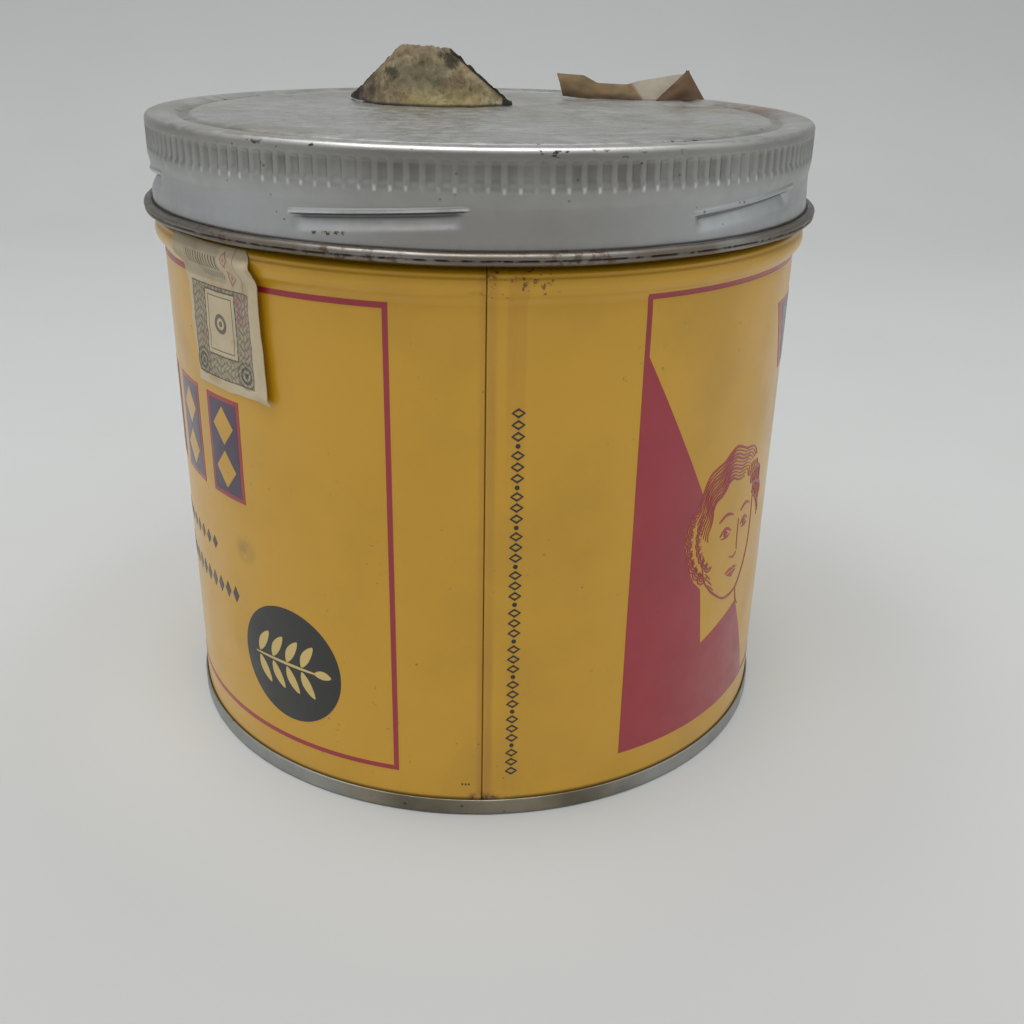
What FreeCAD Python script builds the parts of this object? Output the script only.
"""Round screw-lid tin: lithographed can, soldered side seam, double-seamed bottom and knurled lid.

Millimetres, +Z up, origin at the centre of the base.  The side seam faces -Y.
Every length is a named cell of the sheet "Dimensions"; sketches and features are bound to its cells.
"""
import FreeCAD, Part
import math
import os
import Sketcher

doc = FreeCAD.newDocument("ScrewLidTin")
sheet = doc.addObject("Spreadsheet::Sheet", "Dimensions")

# ---------------------------------------------------------------- driving dimensions
DIMENSIONS = {
    # tinplate and can body
    "plate": 0.30,
    "body_radius": 52.75,
    "neck_radius": 51.85,
    "mouth_height": 100.80,
    "mouth_curl": 0.70,
    "bead_height": 85.30,
    "bead_rise": 1.25,
    "bead_turn": 45.0,
    "neck_fillet": 0.50,
    # hooked side seam, folded inwards
    "fold_width": 4.00,
    "fold_depth": 1.05,
    "fold_foot": 4.20,
    "fold_head": 81.50,
    "fold_bite": 0.05,
    "seam_gap": 0.22,
    "seam_clear": 1.00,
    "solder_gap": 0.01,
    "solder_width": 0.80,
    "solder_low": 0.22,
    "solder_toe": 0.26,
    "solder_high": 0.75,
    # double seam that holds the bottom
    "seam_radius": 53.80,
    "seam_height": 2.90,
    "seam_corner": 0.45,
    "hook_bend": 0.50,
    "chuck_inset": 0.85,
    "hook_centre": 52.95,
    "hook_level": 1.00,
    "hook_tip": 2.20,
    "end_hook_tip": 1.05,
    "compound_width": 0.76,
    "compound_flat": 0.32,
    "compound_level": 0.47,
    "compound_rim": 0.62,
    "compound_gap": 0.02,
    "end_hook_centre": 53.30,
    "panel_level": 3.10,
    "panel_corner": 0.80,
    "ring_radius": 34.00,
    "ring_width": 1.60,
    "ring_drop": 0.70,
    "ring_slope": 0.60,
    "ring_shift": 0.10,
    # lid
    "lid_radius": 54.00,
    "lid_top": 102.40,
    "lid_corner": 1.20,
    "groove_radius": 48.20,
    "groove_half": 1.40,
    "groove_depth": 0.40,
    "skirt_radius": 53.30,
    "band_foot": 96.90,
    "skirt_step": 0.30,
    "flare_top": 90.60,
    "lid_curl": 1.00,
    "curl_radius": 55.40,
    "curl_level": 89.10,
    "curl_end": 110.0,
    # knurled grip
    "knurl_count": 164,
    "knurl_width": 1.55,
    "knurl_foot": 97.00,
    "knurl_head": 100.80,
    "knurl_depth": 0.35,
    # six-start interrupted thread
    "thread_starts": 6,
    "thread_lead": 20.80,
    "lug_angle": 26.5,
    "lug_start": -119.0,
    "lug_ledge": 93.50,
    "lug_reach": 0.85,
    "lug_height": 2.80,
    "rib_height": 1.70,
    "rib_reach": 0.90,
    "rib_run_out": 0.20,
    "thread_gap": 0.20,
    "thread_draft": 0.10,
    "thread_wall": 0.30,
    "crest_flat": 0.60,
    # card liner inside the lid
    "liner_radius": 53.00,
    "liner_thickness": 0.70,
    "liner_gap": 0.10,
    # paper stamp on the side
    "paper": 0.16,
    "paste": 0.03,
    "stamp_foot": 65.50,
    "stamp_angle": 26.0,
    "stamp_start": -152.0,
    "stamp_tuck": 55.0,
    # dark scrap of label that stands up on the lid
    "scrap_card": 0.50,
    "dark_curl": 16.60,
    "dark_centre_across": -7.30,
    "dark_centre_back": 22.50,
    "dark_height": 10.00,
    "dark_left": -23.60,
    "dark_right": 5.60,
    "dark_top_left": -14.00,
    "dark_top_right": -5.40,
    "patch_card": 0.25,
    "patch_radius": 9.50,
    "patch_wing": 3.00,
    "patch_left": 7.50,
    "patch_right": 6.50,
    "patch_left_back": 8.00,
    "patch_right_back": 10.00,
    "tear_foot": 0.40,
    "tear_edge": 0.01,
    "tear_reach": 10.00,
    "tear_over": 1.00,
    "tear_start": 40.00,
    "tear_depth": 60.00,
    # brown scrap of label near the back of the lid
    "brown_card": 0.30,
    "brown_front": 28.00,
    "brown_width": 8.00,
    "brown_shear": 0.01,
}

for row, (alias, value) in enumerate(DIMENSIONS.items(), start=1):
    sheet.set(f"A{row}", alias)
    sheet.set(f"B{row}", str(value))
    sheet.setAlias(f"B{row}", alias)
doc.recompute()


def bound(expression):
    """The expression with every dimension name turned into a reference to its cell."""
    words = []
    word = ""
    for letter in expression + " ":
        if letter.isalnum() or letter == "_":
            word += letter
            continue
        words.append(f"Dimensions.{word}" if word in DIMENSIONS else word)
        words.append(letter)
        word = ""
    return "".join(words).strip()


def value_of(expression):
    """The number that an expression of dimension names gives."""
    return float(sheet.evalExpression(bound(expression)))


# ---------------------------------------------------------------- small modelling helpers
def new_body(name):
    """An empty body whose label is the sub-part's name."""
    body = doc.addObject("PartDesign::Body", name)
    body.Label = name
    return body


def origin_feature(body, role):
    """The body's own origin plane or axis of that role."""
    return next(item for item in body.Origin.OriginFeatures if item.Role == role)


def new_sketch(body, name, role, offset=None):
    """A sketch on one of the body's origin planes, moved by an optional placement."""
    sketch = body.newObject("Sketcher::SketchObject", name)
    sketch.AttachmentSupport = [(origin_feature(body, role), "")]
    sketch.MapMode = "FlatFace"
    if offset is not None:
        sketch.AttachmentOffset = offset
    return sketch


def around(centre_x, centre_y, ccw=True):
    """An arc marker for an outline: the stretch to the next point turns about this centre."""
    return {"x": centre_x, "y": centre_y, "ccw": ccw}


def lock(sketch, kind, geometry, point, expression):
    """Hold one coordinate of a sketch point at an expression of the sheet."""
    index = sketch.addConstraint(Sketcher.Constraint(kind, geometry, point, value_of(expression)))
    sketch.setExpression(f"Constraints[{index}]", bound(expression))


def draw(sketch, outline):
    """Draw a closed outline of (x, y) expressions, with arc markers between points, fully locked."""
    corners = [item for item in outline if isinstance(item, tuple)]
    arcs = {}
    for index, item in enumerate(outline):
        if isinstance(item, dict):
            arcs[sum(isinstance(before, tuple) for before in outline[:index]) - 1] = item
    spots = [FreeCAD.Vector(value_of(x), value_of(y), 0) for x, y in corners]
    ends = []
    for index, start in enumerate(spots):
        finish = spots[(index + 1) % len(spots)]
        arc = arcs.get(index)
        if arc is None:
            geometry = sketch.addGeometry(Part.LineSegment(start, finish), False)
            ends.append((geometry, 1, 2))
            continue
        centre = FreeCAD.Vector(value_of(arc["x"]), value_of(arc["y"]), 0)
        first, last = (start, finish) if arc["ccw"] else (finish, start)
        angles = [math.atan2(spot.y - centre.y, spot.x - centre.x) for spot in (first, last)]
        circle = Part.Circle(centre, FreeCAD.Vector(0, 0, 1), (first - centre).Length)
        geometry = sketch.addGeometry(Part.ArcOfCircle(circle, angles[0], angles[1]), False)
        ends.append((geometry, 1, 2) if arc["ccw"] else (geometry, 2, 1))
        chord = finish - start
        if abs(chord.x) > abs(chord.y):
            lock(sketch, "DistanceY", geometry, 3, arc["y"])
        else:
            lock(sketch, "DistanceX", geometry, 3, arc["x"])
    for index, (geometry, first, last) in enumerate(ends):
        following = ends[(index + 1) % len(ends)]
        joined = Sketcher.Constraint("Coincident", geometry, last, following[0], following[1])
        sketch.addConstraint(joined)
        lock(sketch, "DistanceX", geometry, first, corners[index][0])
        lock(sketch, "DistanceY", geometry, first, corners[index][1])


def revolve(body, name, outline, angle="360", turned=0.0):
    """Turn an outline of (radius, height) about the body's vertical axis."""
    spin = FreeCAD.Rotation(FreeCAD.Vector(0, 1, 0), turned)
    offset = FreeCAD.Placement(FreeCAD.Vector(0, 0, 0), spin)
    sketch = new_sketch(body, f"{name}_outline", "XZ_Plane", offset)
    draw(sketch, outline)
    turn = body.newObject("PartDesign::Revolution", name)
    turn.Profile = sketch
    turn.ReferenceAxis = (sketch, ["V_Axis"])
    turn.setExpression("Angle", bound(angle))
    doc.recompute()
    return turn


def extrude(body, kind, name, role, offset, outline, length, reverse=False):
    """Pad or pocket an outline by a length."""
    sketch = new_sketch(body, f"{name}_outline", role, offset)
    draw(sketch, outline)
    feature = body.newObject(f"PartDesign::{kind}", name)
    feature.Profile = sketch
    feature.Reversed = reverse
    feature.setExpression("Length", bound(length))
    doc.recompute()
    return feature


def helix(body, kind, name, outline, turned):
    """Sweep an outline of (radius, height) up the thread's helix, over one lug's angle."""
    spin = FreeCAD.Rotation(FreeCAD.Vector(0, 1, 0), turned)
    offset = FreeCAD.Placement(FreeCAD.Vector(0, 0, 0), spin)
    sketch = new_sketch(body, f"{name}_outline", "XZ_Plane", offset)
    draw(sketch, outline)
    sweep = body.newObject(f"PartDesign::{kind}", name)
    sweep.Profile = sketch
    sweep.ReferenceAxis = (sketch, ["V_Axis"])
    sweep.Mode = 0
    sweep.setExpression("Pitch", bound("thread_lead"))
    sweep.setExpression("Height", bound("thread_lead * lug_angle / 360"))
    doc.recompute()
    return sweep


def repeat(body, name, original, count):
    """Repeat a feature evenly round the vertical axis."""
    pattern = body.newObject("PartDesign::PolarPattern", name)
    pattern.Originals = [original]
    pattern.Axis = (origin_feature(body, "Z_Axis"), [""])
    pattern.Angle = 360
    pattern.setExpression("Occurrences", bound(count))
    body.Tip = pattern
    doc.recompute()
    return pattern


def raised(height):
    """A placement that lifts an XY sketch to a height of the sheet."""
    return FreeCAD.Placement(FreeCAD.Vector(0, 0, value_of(height)), FreeCAD.Rotation())


# ---------------------------------------------------------------- shared geometry
# The bead under the lid is two equal tangent arcs: a hollow toe, then the round crest.
BEND = "(bead_rise / 2 / (1 - cos(bead_turn)))"
TOE_X = f"(body_radius + {BEND})"
TOE_Z = f"(bead_height - 2 * {BEND} * sin(bead_turn))"
CREST_X = f"(body_radius + bead_rise - {BEND})"
# The crest runs over into the fillet at the foot of the neck at this angle above level.
SHOULDER = f"acos((neck_radius + neck_fillet - {CREST_X}) / ({BEND} + neck_fillet))"
NECK_X = "(neck_radius + neck_fillet)"
NECK_Z = f"(bead_height + ({BEND} + neck_fillet) * sin({SHOULDER}))"


def on_arc(centre_x, centre_z, radius, angle):
    """Point expressions on a circle at an angle expression."""
    return (f"{centre_x} + ({radius}) * cos({angle})", f"{centre_z} + ({radius}) * sin({angle})")


# ---------------------------------------------------------------- can body
def make_can_body():
    """The rolled sheet: body hook, wall, bead, neck, inward mouth curl, side fold and thread ribs."""
    body = new_body("can_body")
    curl_x = "(neck_radius - mouth_curl)"
    curl_z = "(mouth_height - mouth_curl)"
    inside = "(body_radius - plate)"
    revolve(body, "can_wall", [
        ("hook_centre + hook_bend", "hook_tip"),
        ("hook_centre + hook_bend", "hook_level"),
        around("hook_centre", "hook_level", ccw=False),
        ("hook_centre - hook_bend", "hook_level"),
        (inside, TOE_Z),
        around(TOE_X, TOE_Z, ccw=False),
        on_arc(TOE_X, TOE_Z, f"{BEND} + plate", "180 - bead_turn"),
        around(CREST_X, "bead_height"),
        on_arc(CREST_X, "bead_height", f"{BEND} - plate", SHOULDER),
        around(NECK_X, NECK_Z, ccw=False),
        ("neck_radius - plate", NECK_Z),
        ("neck_radius - plate", curl_z),
        around(curl_x, curl_z),
        (f"{curl_x} - mouth_curl + plate", curl_z),
        (f"{curl_x} - mouth_curl", curl_z),
        around(curl_x, curl_z, ccw=False),
        ("neck_radius", curl_z),
        ("neck_radius", NECK_Z),
        around(NECK_X, NECK_Z),
        on_arc(CREST_X, "bead_height", BEND, SHOULDER),
        around(CREST_X, "bead_height", ccw=False),
        on_arc(TOE_X, TOE_Z, BEND, "180 - bead_turn"),
        around(TOE_X, TOE_Z),
        ("body_radius", TOE_Z),
        ("hook_centre - hook_bend + plate", "hook_level"),
        around("hook_centre", "hook_level"),
        ("hook_centre + hook_bend - plate", "hook_level"),
        ("hook_centre + hook_bend - plate", "hook_tip"),
    ])
    fold_back = "(0 - body_radius + plate - fold_bite)"
    extrude(body, "Pad", "side_fold", "XY_Plane", raised("fold_foot"), [
        ("0", f"{fold_back} + fold_depth"),
        ("0", fold_back),
        ("fold_width", fold_back),
        ("fold_width", f"{fold_back} + fold_depth"),
    ], "fold_head - fold_foot")
    extrude(body, "Pocket", "seam_line", "XY_Plane", raised("seam_height"), [
        ("0 - seam_gap / 2", "0 - body_radius - seam_clear"),
        ("seam_gap / 2", "0 - body_radius - seam_clear"),
        ("seam_gap / 2", "0 - body_radius + plate / 2"),
        ("0 - seam_gap / 2", "0 - body_radius + plate / 2"),
    ], "fold_head - seam_height", reverse=True)
    foot = "(lug_ledge + thread_gap)"
    crest = "(neck_radius + rib_reach)"
    rib = helix(body, "AdditiveHelix", "thread_rib", [
        ("neck_radius - plate / 2", foot),
        (crest, f"{foot} + thread_draft"),
        (crest, f"{foot} + crest_flat"),
        ("neck_radius - plate / 2", f"{foot} + rib_height"),
    ], value_of("lug_start"))
    repeat(body, "thread_ribs", rib, "thread_starts")
    hollow = helix(body, "SubtractiveHelix", "rib_hollow", [
        ("neck_radius - plate * 1.5", f"{foot} + thread_wall"),
        (f"{crest} - plate", f"{foot} + thread_wall + thread_draft"),
        (f"{crest} - plate", f"{foot} + crest_flat"),
        ("neck_radius - plate * 1.5", f"{foot} + rib_height - rib_run_out"),
    ], value_of("lug_start"))
    repeat(body, "rib_hollows", hollow, "thread_starts")
    return body


def make_side_seam_solder():
    """The fillet of solder along the inner edge of the side fold."""
    body = new_body("side_seam_solder")
    inside = "(0 - body_radius + plate)"
    extrude(body, "Pad", "solder_run", "XY_Plane", raised("fold_foot"), [
        ("fold_width + solder_gap", f"{inside} + solder_high"),
        ("fold_width + solder_gap", f"{inside} + solder_low"),
        ("fold_width + solder_width", f"{inside} + solder_toe"),
    ], "fold_head - fold_foot")
    return body


# ---------------------------------------------------------------- bottom end
def make_bottom_end():
    """The stamped disc: recessed panel with one expansion ring, chuck wall and interlocked hook."""
    body = new_body("bottom_end")
    outer = "seam_radius"
    chuck = "(hook_centre - chuck_inset)"
    flat_in = f"({chuck} + seam_corner)"
    flat_out = f"({outer} - seam_corner)"
    top = "(seam_height - hook_bend)"
    ring_in = "(ring_radius - ring_width)"
    ring_out = "(ring_radius + ring_width)"
    under = "(panel_level - plate)"
    revolve(body, "end_disc", [
        ("0", under),
        (ring_in, under),
        (f"{ring_in} + ring_slope", f"{under} - ring_drop"),
        (f"{ring_out} - ring_slope", f"{under} - ring_drop"),
        (ring_out, under),
        (f"{chuck} - panel_corner + plate", under),
        around(f"{chuck} - panel_corner + plate", f"{under} - panel_corner + plate", ccw=False),
        (chuck, f"{under} - panel_corner + plate"),
        (chuck, "seam_corner"),
        around(flat_in, "seam_corner"),
        (flat_in, "0"),
        (flat_out, "0"),
        around(flat_out, "seam_corner"),
        (outer, "seam_corner"),
        (outer, top),
        around("end_hook_centre", top),
        ("end_hook_centre - hook_bend", top),
        ("end_hook_centre - hook_bend", "end_hook_tip"),
        ("end_hook_centre - hook_bend + plate", "end_hook_tip"),
        ("end_hook_centre - hook_bend + plate", top),
        around("end_hook_centre", top, ccw=False),
        (f"{outer} - plate", top),
        (f"{outer} - plate", "seam_corner"),
        around(flat_out, "seam_corner", ccw=False),
        (flat_out, "plate"),
        (flat_in, "plate"),
        around(flat_in, "seam_corner", ccw=False),
        (f"{chuck} + plate", "seam_corner"),
        (f"{chuck} + plate", f"{under} - panel_corner + plate"),
        around(f"{chuck} - panel_corner + plate", f"{under} - panel_corner + plate"),
        (f"{chuck} - panel_corner + plate", "panel_level"),
        (f"{ring_out} + ring_shift", "panel_level"),
        (f"{ring_out} + ring_shift - ring_slope", "panel_level - ring_drop"),
        (f"{ring_in} - ring_shift + ring_slope", "panel_level - ring_drop"),
        (f"{ring_in} - ring_shift", "panel_level"),
        ("0", "panel_level"),
    ])
    return body


def make_bottom_seam_compound():
    """The rubber sealing compound that lies in the root of the double seam."""
    body = new_body("bottom_seam_compound")
    half = "compound_width / 2"
    rim = "compound_flat / 2"
    revolve(body, "compound_ring", [
        (f"hook_centre - {half}", "plate + compound_gap"),
        (f"hook_centre + {half}", "plate + compound_gap"),
        (f"hook_centre + {half}", "compound_rim"),
        (f"hook_centre + {rim}", "compound_level"),
        (f"hook_centre - {rim}", "compound_level"),
        (f"hook_centre - {half}", "compound_rim"),
    ])
    return body


# ---------------------------------------------------------------- lid
def make_lid_shell():
    """The pressed lid: grooved top, knurled band, plain skirt with six lugs and an outward curl."""
    body = new_body("lid_shell")
    groove_bend = "((groove_half ^ 2 + groove_depth ^ 2) / 2 / groove_depth)"
    groove_z = f"(lid_top - groove_depth + {groove_bend})"
    under_half = f"sqrt(({groove_bend} + plate) ^ 2 - ({groove_z} - lid_top + plate) ^ 2)"
    corner_x = "(lid_radius - lid_corner)"
    corner_z = "(lid_top - lid_corner)"
    curl_x = "(curl_radius - lid_curl)"
    band_in = "(lid_radius - knurl_depth - plate)"
    revolve(body, "lid_sheet", [
        ("0", "lid_top"),
        ("0", "lid_top - plate"),
        (f"groove_radius - {under_half}", "lid_top - plate"),
        around("groove_radius", groove_z),
        (f"groove_radius + {under_half}", "lid_top - plate"),
        (corner_x, "lid_top - plate"),
        around(corner_x, corner_z, ccw=False),
        ("lid_radius - plate", corner_z),
        (band_in, f"{corner_z} - skirt_step"),
        (band_in, "knurl_foot"),
        ("skirt_radius - plate", "band_foot - skirt_step"),
        ("skirt_radius - plate", "flare_top"),
        (f"{curl_x} - lid_curl", "curl_level"),
        around(curl_x, "curl_level"),
        on_arc(curl_x, "curl_level", "lid_curl", "curl_end"),
        on_arc(curl_x, "curl_level", "lid_curl - plate", "curl_end"),
        around(curl_x, "curl_level", ccw=False),
        (f"{curl_x} - lid_curl + plate", "curl_level"),
        ("skirt_radius", "flare_top"),
        ("skirt_radius", "band_foot - skirt_step"),
        ("lid_radius", "band_foot"),
        ("lid_radius", corner_z),
        around(corner_x, corner_z),
        (corner_x, "lid_top"),
        ("groove_radius + groove_half", "lid_top"),
        around("groove_radius", groove_z, ccw=False),
        ("groove_radius - groove_half", "lid_top"),
    ])
    outside = FreeCAD.Placement(
        FreeCAD.Vector(0, 0, value_of("lid_radius - knurl_depth")), FreeCAD.Rotation())
    panel = extrude(body, "Pocket", "knurl_panel", "XZ_Plane", outside, [
        ("0 - knurl_width / 2", "knurl_foot"),
        ("knurl_width / 2", "knurl_foot"),
        ("knurl_width / 2", "knurl_head"),
        ("0 - knurl_width / 2", "knurl_head"),
    ], "knurl_depth * 2", reverse=True)
    repeat(body, "knurling", panel, "knurl_count")
    face = "(skirt_radius - plate / 2)"
    crest = "(skirt_radius - plate - lug_reach)"
    lug = helix(body, "AdditiveHelix", "lug", [
        (face, "lug_ledge"),
        (crest, "lug_ledge - thread_draft"),
        (crest, "lug_ledge - crest_flat"),
        (face, "lug_ledge - lug_height"),
    ], value_of("lug_start"))
    repeat(body, "lugs", lug, "thread_starts")
    hollow = helix(body, "SubtractiveHelix", "lug_hollow", [
        ("skirt_radius + plate / 2", "lug_ledge - thread_wall"),
        (f"{crest} + plate", "lug_ledge - thread_wall - thread_draft"),
        (f"{crest} + plate", "lug_ledge - crest_flat"),
        ("skirt_radius + plate / 2", "lug_ledge - lug_height"),
    ], value_of("lug_start"))
    repeat(body, "lug_hollows", hollow, "thread_starts")
    return body


def make_lid_liner():
    """The loose disc of waxed card that the lid presses onto the mouth."""
    body = new_body("lid_liner")
    foot = "(mouth_height + liner_gap)"
    revolve(body, "liner_disc", [
        ("0", foot),
        ("liner_radius", foot),
        ("liner_radius", f"{foot} + liner_thickness"),
        ("0", f"{foot} + liner_thickness"),
    ])
    return body


# ---------------------------------------------------------------- papers
def make_side_stamp():
    """The paper strip pasted down the wall and over the bead, up under the lid's curl."""
    body = new_body("side_paper_stamp")
    near = "(body_radius + paste)"
    far = "(body_radius + paste + paper)"
    revolve(body, "stamp_strip", [
        (near, "stamp_foot"),
        (far, "stamp_foot"),
        (far, TOE_Z),
        around(TOE_X, TOE_Z, ccw=False),
        on_arc(TOE_X, TOE_Z, f"{BEND} - paste - paper", "180 - bead_turn"),
        around(CREST_X, "bead_height"),
        on_arc(CREST_X, "bead_height", f"{BEND} + paste + paper", "stamp_tuck"),
        on_arc(CREST_X, "bead_height", f"{BEND} + paste", "stamp_tuck"),
        around(CREST_X, "bead_height", ccw=False),
        on_arc(TOE_X, TOE_Z, f"{BEND} - paste", "180 - bead_turn"),
        around(TOE_X, TOE_Z),
        (near, TOE_Z),
    ], "stamp_angle", value_of("stamp_start"))
    return body


def make_dark_scrap():
    """A torn corner of label: stuck down behind, curled upright in front, with a flat-topped peak."""
    body = new_body("dark_label_scrap")
    across = "dark_centre_across"
    back = "dark_centre_back"
    inner = "(dark_curl - scrap_card)"
    reach_in = f"sqrt({inner} ^ 2 - (dark_right - {across}) ^ 2)"
    reach_out = f"sqrt(dark_curl ^ 2 - (dark_right - {across}) ^ 2)"
    extrude(body, "Pad", "curled_flap", "XY_Plane", raised("lid_top"), [
        (f"{across} - dark_curl", back),
        around(across, back),
        ("dark_right", f"{back} - {reach_out}"),
        ("dark_right", f"{back} - {reach_in}"),
        around(across, back, ccw=False),
        (f"{across} - {inner}", back),
    ], "dark_height")
    front = f"({back} - dark_curl)"
    extrude(body, "Pad", "stuck_patch", "XY_Plane", raised("lid_top"), [
        (f"{across} - patch_radius", f"{front} + scrap_card / 2 + patch_wing"),
        (across, f"{front} + scrap_card / 2"),
        (f"{across} + patch_radius", f"{front} + scrap_card / 2 + patch_wing"),
        (f"{across} + patch_right", f"{front} + patch_right_back"),
        (f"{across} - patch_left", f"{front} + patch_left_back"),
    ], "patch_card")
    ahead = FreeCAD.Placement(FreeCAD.Vector(0, 0, value_of("tear_start")), FreeCAD.Rotation())
    peak = "(lid_top + dark_height)"
    for name, low, high, side in (
        ("left_tear", "dark_left", "dark_top_left", "-1"),
        ("right_tear", "dark_right", "dark_top_right", "1"),
    ):
        extrude(body, "Pocket", name, "XZ_Plane", ahead, [
            (f"{low} + tear_edge * {side}", "lid_top + tear_foot"),
            (f"{low} + tear_reach * {side}", "lid_top + tear_foot"),
            (f"{low} + tear_reach * {side}", f"{peak} + tear_over"),
            (high, f"{peak} + tear_over"),
            (high, peak),
        ], "tear_depth")
    return body


def make_brown_scrap():
    """A curled strip of brown label: its ends stand up and its middle is stuck to the lid."""
    body = new_body("brown_label_scrap")
    # stations along the strip: across the lid, height above the lid, lean of the sheet
    route = [(14.4, 4.5), (20.5, 2.7), (27.0, 0.0), (34.0, 0.0), (39.6, 5.5), (43.2, 0.6)]
    lower = [(f"{x}", f"lid_top + {rise}") for x, rise in route]
    upper = [(f"{x} + brown_shear", f"lid_top + {rise} + brown_card") for x, rise in reversed(route)]
    front = FreeCAD.Placement(
        FreeCAD.Vector(0, 0, -value_of("brown_front")), FreeCAD.Rotation())
    extrude(body, "Pad", "curled_strip", "XZ_Plane", front, lower + upper, "brown_width",
            reverse=True)
    return body


# ---------------------------------------------------------------- build, test and write
parts = [
    make_can_body(),
    make_side_seam_solder(),
    make_bottom_end(),
    make_bottom_seam_compound(),
    make_lid_shell(),
    make_lid_liner(),
    make_side_stamp(),
    make_dark_scrap(),
    make_brown_scrap(),
]
doc.recompute()

for item in doc.Objects:
    if {"Invalid", "Error"} & set(item.State):
        raise RuntimeError(f"{item.Label} failed: {item.State}")

os.makedirs("parts", exist_ok=True)
for part in parts:
    shape = part.Shape
    if shape.isNull() or not shape.isValid() or len(shape.Solids) != 1:
        raise RuntimeError(f"{part.Label} has no single valid solid")
    shape.exportStep(f"parts/{part.Label}.step")
    box = shape.BoundBox
    print(f"{part.Label:22s} {shape.Volume:10.1f} mm3  "
          f"x {box.XMin:7.2f} {box.XMax:7.2f}  y {box.YMin:7.2f} {box.YMax:7.2f}  "
          f"z {box.ZMin:7.2f} {box.ZMax:7.2f}")
